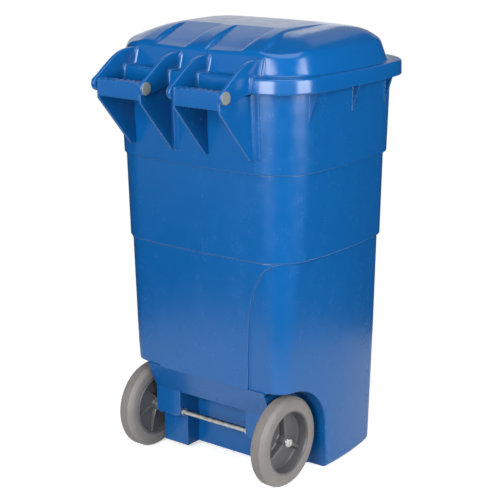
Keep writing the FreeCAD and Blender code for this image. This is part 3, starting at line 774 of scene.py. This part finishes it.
def handles():
    low, high = node_box("handle_left")
    for side_name, side in SIDES.items():
        shape = Shape()
        for x0, x1, out in ((low.x, low.x + CHEEK_THICK, -1), (high.x - CHEEK_THICK, high.x, 1)):
            middle = (x0 + x1) / 2
            plate(shape, cheek_loop(middle, high), x0, x1, 1.1)
            face = x0 if out < 0 else x1
            wall_pad(shape, face, out)
        inset = CHEEK_THICK - GRIP_SUNK
        grip(shape, low.x + inset, high.x - inset, high)
        shape.piece("handle_%s_moulding" % side_name, TUB, "bin",
                    ["handle_" + side_name], mirror=side < 0)


# ------------------------------------------------------------------ wheels
GROOVES, GROOVE_PITCH, TREAD_HALF = 5, 4.1, 9.4
SPOKES, BACK_RIBS = 3, 6
# The radius of the hub's boss, where the spokes and the ribs start.
BOSS = 14.0


def tyre(side_name, side):
    low, high = node_box("tyre_left")
    middle, half = (low.x + high.x) / 2, (high.x - low.x) / 2
    radius = (high.z - low.z) / 2
    centre = ((low.y + high.y) / 2, (low.z + high.z) / 2)
    wall = curve_through([(-half + 2.6, 71.6), (-half + 1.0, 72.6), (-half + 0.25, 75.0),
                          (-half + 0.05, 79.0), (-half, 84.0), (-half + 0.5, 89.5),
                          (-half + 2.3, 94.4), (-half + 5.4, 98.2), (-half + 9.0, 100.4)], 4)
    tread = [(-TREAD_HALF, radius - 0.75)]
    for i in range(GROOVES):
        x = (i - GROOVES // 2) * GROOVE_PITCH
        tread += [(x - 1.15, radius - 0.10), (x - 0.75, radius - 0.25), (x - 0.45, radius - 1.15),
                  (x, radius - 1.3), (x + 0.45, radius - 1.15), (x + 0.75, radius - 0.25),
                  (x + 1.15, radius - 0.10)]
        if i < GROOVES - 1:
            tread.append((x + GROOVE_PITCH / 2, radius))
    tread.append((TREAD_HALF, radius - 0.75))
    profile = wall + tread + [(-x, r) for x, r in reversed(wall)]
    shape = Shape()
    lathe(shape, [(middle + x, r) for x, r in profile], centre, 220)
    shape.piece("tyre_%s_grooved" % side_name, TYRE, "wheel_" + side_name,
                ["tyre_" + side_name], mirror=side < 0, sharp=50)


def spoke(shape, angle, centre, web, boss, rim):
    """A tapering raised spoke on the outer face, from the boss to the rim's wall."""
    half_in, half_out = 5.6, 4.6
    rings = []
    for i in range(15):
        t = i / 14
        r = mix(boss - 2.5, rim, t)
        half = mix(half_in, half_out, t)
        crest = mix(web + 17.0, web + 10.5, t)
        foot = 2.2 * (1 - t) ** 4 + 1.4
        section = [(web - 1.0, -half - foot), (web + 0.2, -half - foot), (web + 1.2, -half - 0.6),
                   (web + 3.0, -half), (crest - 1.6, -half + 0.8), (crest - 0.4, -half + 1.4),
                   (crest, -half + 2.6)]
        section += [(x, -across) for x, across in reversed(section)]
        rings.append(radial_ring(shape, section, centre, r, angle))
    shape.capped_loft(rings)


def back_rib(shape, angle, centre, web, boss, rim):
    """A thin curved rib on the hub's inner face."""
    rings = []
    for i in range(17):
        t = i / 16
        r = mix(boss - 1.5, rim, t)
        turn = angle + 0.42 * math.sin(t * math.pi / 2)
        edge = mix(web - 9.0, web - 4.5, t)
        section = [(web + 1.0, -1.5), (web - 0.5, -1.2), (edge + 0.7, -0.8), (edge, -0.3),
                   (edge, 0.3), (edge + 0.7, 0.8), (web - 0.5, 1.2), (web + 1.0, 1.5)]
        rings.append(radial_ring(shape, section, centre, r, turn))
    shape.capped_loft(rings)


def hub(side_name, side):
    low, high = node_box("hub_left")
    centre = ((low.y + high.y) / 2, (low.z + high.z) / 2)
    rim = (high.z - low.z) / 2
    inner, outer = low.x, high.x
    web, boss_end, bore = 184.0, outer - 5.5, 9.0
    shape = Shape()
    profile = [(inner + 4.0, rim), (outer - 0.8, rim), (outer - 0.1, rim - 0.5), (outer, rim - 1.2),
               (outer - 0.1, rim - 2.6), (outer - 0.9, rim - 3.2), (outer - 6.0, rim - 4.4),
               (web + 5.0, rim - 6.4), (web + 1.6, rim - 7.2), (web + 0.5, rim - 8.6),
               (web, rim - 10.5), (web, rim - 24.0), (web, 30.0), (web, 19.5), (web + 0.6, 17.2),
               (web + 2.2, 15.4), (web + 4.5, 14.6), (boss_end - 1.6, 13.6), (boss_end - 0.4, 13.1),
               (boss_end, 12.2), (boss_end, bore + 0.6), (boss_end - 0.6, bore), (inner - 3.4, bore),
               (inner - 4.0, bore + 0.6), (inner - 4.0, 12.6), (inner - 3.2, 13.6), (web - 8.0, 14.2),
               (web - 5.2, 15.6), (web - 4.2, 18.0), (web - 4.0, 22.0), (web - 4.0, rim - 12.0),
               (web - 4.6, rim - 8.0), (web - 7.0, rim - 5.6), (inner + 1.0, rim - 4.4),
               (inner + 0.2, rim - 3.6), (inner, rim - 2.8), (inner + 0.4, rim - 1.6),
               (inner + 2.0, rim - 0.6)]
    lathe(shape, profile, centre, 180)
    for i in range(SPOKES):
        spoke(shape, 2 * math.pi * i / SPOKES, centre, web, BOSS, rim - 5.6)
    for i in range(BACK_RIBS):
        back_rib(shape, 2 * math.pi * i / BACK_RIBS + 0.3, centre, web - 4.0, BOSS, rim - 5.0)
    shape.piece("hub_%s_dished" % side_name, HUB, "wheel_" + side_name,
                ["hub_" + side_name], mirror=side < 0, sharp=44)


def wheels():
    for side_name, side in SIDES.items():
        tyre(side_name, side)
        hub(side_name, side)


# ------------------------------------------------------------------ studio and camera
# A softbox nearer the bin's middle than this hangs over it and points down at its middle height.
OVERHEAD_WITHIN = 1.5
MIDDLE_HEIGHT = 0.5
# Strength of the world and of the floor's glow: for light that reaches the bin, then as seen.
WORLD_STRENGTH = (0.04, 1.0)
FLOOR_GLOW = (0.05, 0.60)
FLOOR_RADIUS = 0.98
CAMERA_PLACE = (-1.8736, 2.3927, 1.3226)
CAMERA_LENS = 99.95
# Azimuth, elevation and roll of the camera in degrees.
CAMERA_ANGLES = (217.78, 15.443, 0.24)


def aim(obj, target):
    direction = Vector(target) - obj.location
    obj.rotation_mode = "QUATERNION"
    obj.rotation_quaternion = direction.to_track_quat("-Z", "Y")


def softbox(name, azimuth, distance, height, width, tall, radiance):
    """A rectangular light round the bin. Azimuth is counted from +X towards +Y."""
    data = bpy.data.lights.new(name, "AREA")
    data.shape = "RECTANGLE"
    data.size = width
    data.size_y = tall
    data.energy = radiance * math.pi * width * tall
    light = bpy.data.objects.new(name, data)
    bpy.context.scene.collection.objects.link(light)
    angle = math.radians(azimuth)
    light.location = (math.cos(angle) * distance, math.sin(angle) * distance, height)
    light.visible_camera = False
    aim(light, (0.0, 0.0, height if distance > OVERHEAD_WITHIN else MIDDLE_HEIGHT))


def studio():
    """Soft lights round the bin, and a white world that hardly lights it."""
    softbox("rear_left_softbox", 100.0, 2.6, 1.42, 1.45, 1.96, 12.0)
    softbox("right_side_softbox", 176.0, 2.6, 1.52, 1.35, 2.16, 10.5)
    softbox("rear_fill", 52.0, 3.0, 1.20, 2.30, 2.6, 0.35)
    softbox("camera_side_fill", 138.0, 2.9, 1.30, 2.10, 1.8, 0.6)
    softbox("backdrop_glow", 317.0, 3.2, 2.00, 2.35, 3.2, 0.85)
    softbox("backdrop_edge", 291.0, 3.2, 2.00, 1.15, 3.2, 0.35)
    softbox("overhead_softbox", 140.0, 0.6, 3.1, 2.2, 2.2, 2.2)
    world = bpy.data.worlds.new("studio_white")
    world.use_nodes = True
    tree = world.node_tree
    seen = tree.nodes.new("ShaderNodeLightPath").outputs["Is Camera Ray"]
    strength = tree.nodes.new("ShaderNodeMapRange")
    tree.links.new(seen, strength.inputs["Value"])
    strength.inputs["To Min"].default_value = WORLD_STRENGTH[0]
    strength.inputs["To Max"].default_value = WORLD_STRENGTH[1]
    background = tree.nodes["Background"]
    background.inputs["Color"].default_value = (1.0, 1.0, 1.0, 1.0)
    tree.links.new(strength.outputs["Result"], background.inputs["Strength"])
    bpy.context.scene.world = world
    bpy.context.scene.view_settings.view_transform = "Standard"


def floor():
    """A round pale floor with a faint paper-like tooth, which glows white when seen directly."""
    mesh = bpy.data.meshes.new("studio_floor")
    shape = bmesh.new()
    bmesh.ops.create_circle(shape, cap_ends=True, segments=96, radius=FLOOR_RADIUS)
    shape.to_mesh(mesh)
    shape.free()
    obj = bpy.data.objects.new("studio_floor", mesh)
    bpy.context.scene.collection.objects.link(obj)
    g = Graph("studio_floor_white")
    tone = g.ramp(g.noise(4.0, 2.0, 0.5), 0.3, 0.7)
    g.put(g.shader.inputs["Base Color"], g.blend(tone, (0.68, 0.68, 0.68, 1), (0.71, 0.71, 0.71, 1)))
    g.shader.inputs["Roughness"].default_value = 0.9
    g.shader.inputs["Emission Color"].default_value = (1.0, 1.0, 1.0, 1.0)
    seen = g.add("ShaderNodeLightPath").outputs["Is Camera Ray"]
    g.put(g.shader.inputs["Emission Strength"], g.ramp(seen, 0.0, 1.0, *FLOOR_GLOW))
    g.bump([(g.noise(160.0, 2.0, 0.5), 0.05, 0.0005)])
    mesh.materials.append(g.material)


def camera():
    data = bpy.data.cameras.new("camera")
    data.sensor_width = 36.0
    data.lens = CAMERA_LENS
    data.clip_start = 0.05
    data.clip_end = 60.0
    obj = bpy.data.objects.new("camera", data)
    bpy.context.scene.collection.objects.link(obj)
    azimuth, elevation, roll = (math.radians(a) for a in CAMERA_ANGLES)
    back = Vector((math.sin(azimuth) * math.cos(elevation), -math.cos(azimuth) * math.cos(elevation),
                   math.sin(elevation)))
    turn = (-back).to_track_quat("-Z", "Y").to_matrix().to_4x4() @ Matrix.Rotation(-roll, 4, "Z")
    obj.matrix_world = Matrix.Translation(CAMERA_PLACE) @ turn
    bpy.context.scene.camera = obj


dress_cad_nodes()
lid()
arms()
handles()
wheels()
studio()
floor()
camera()
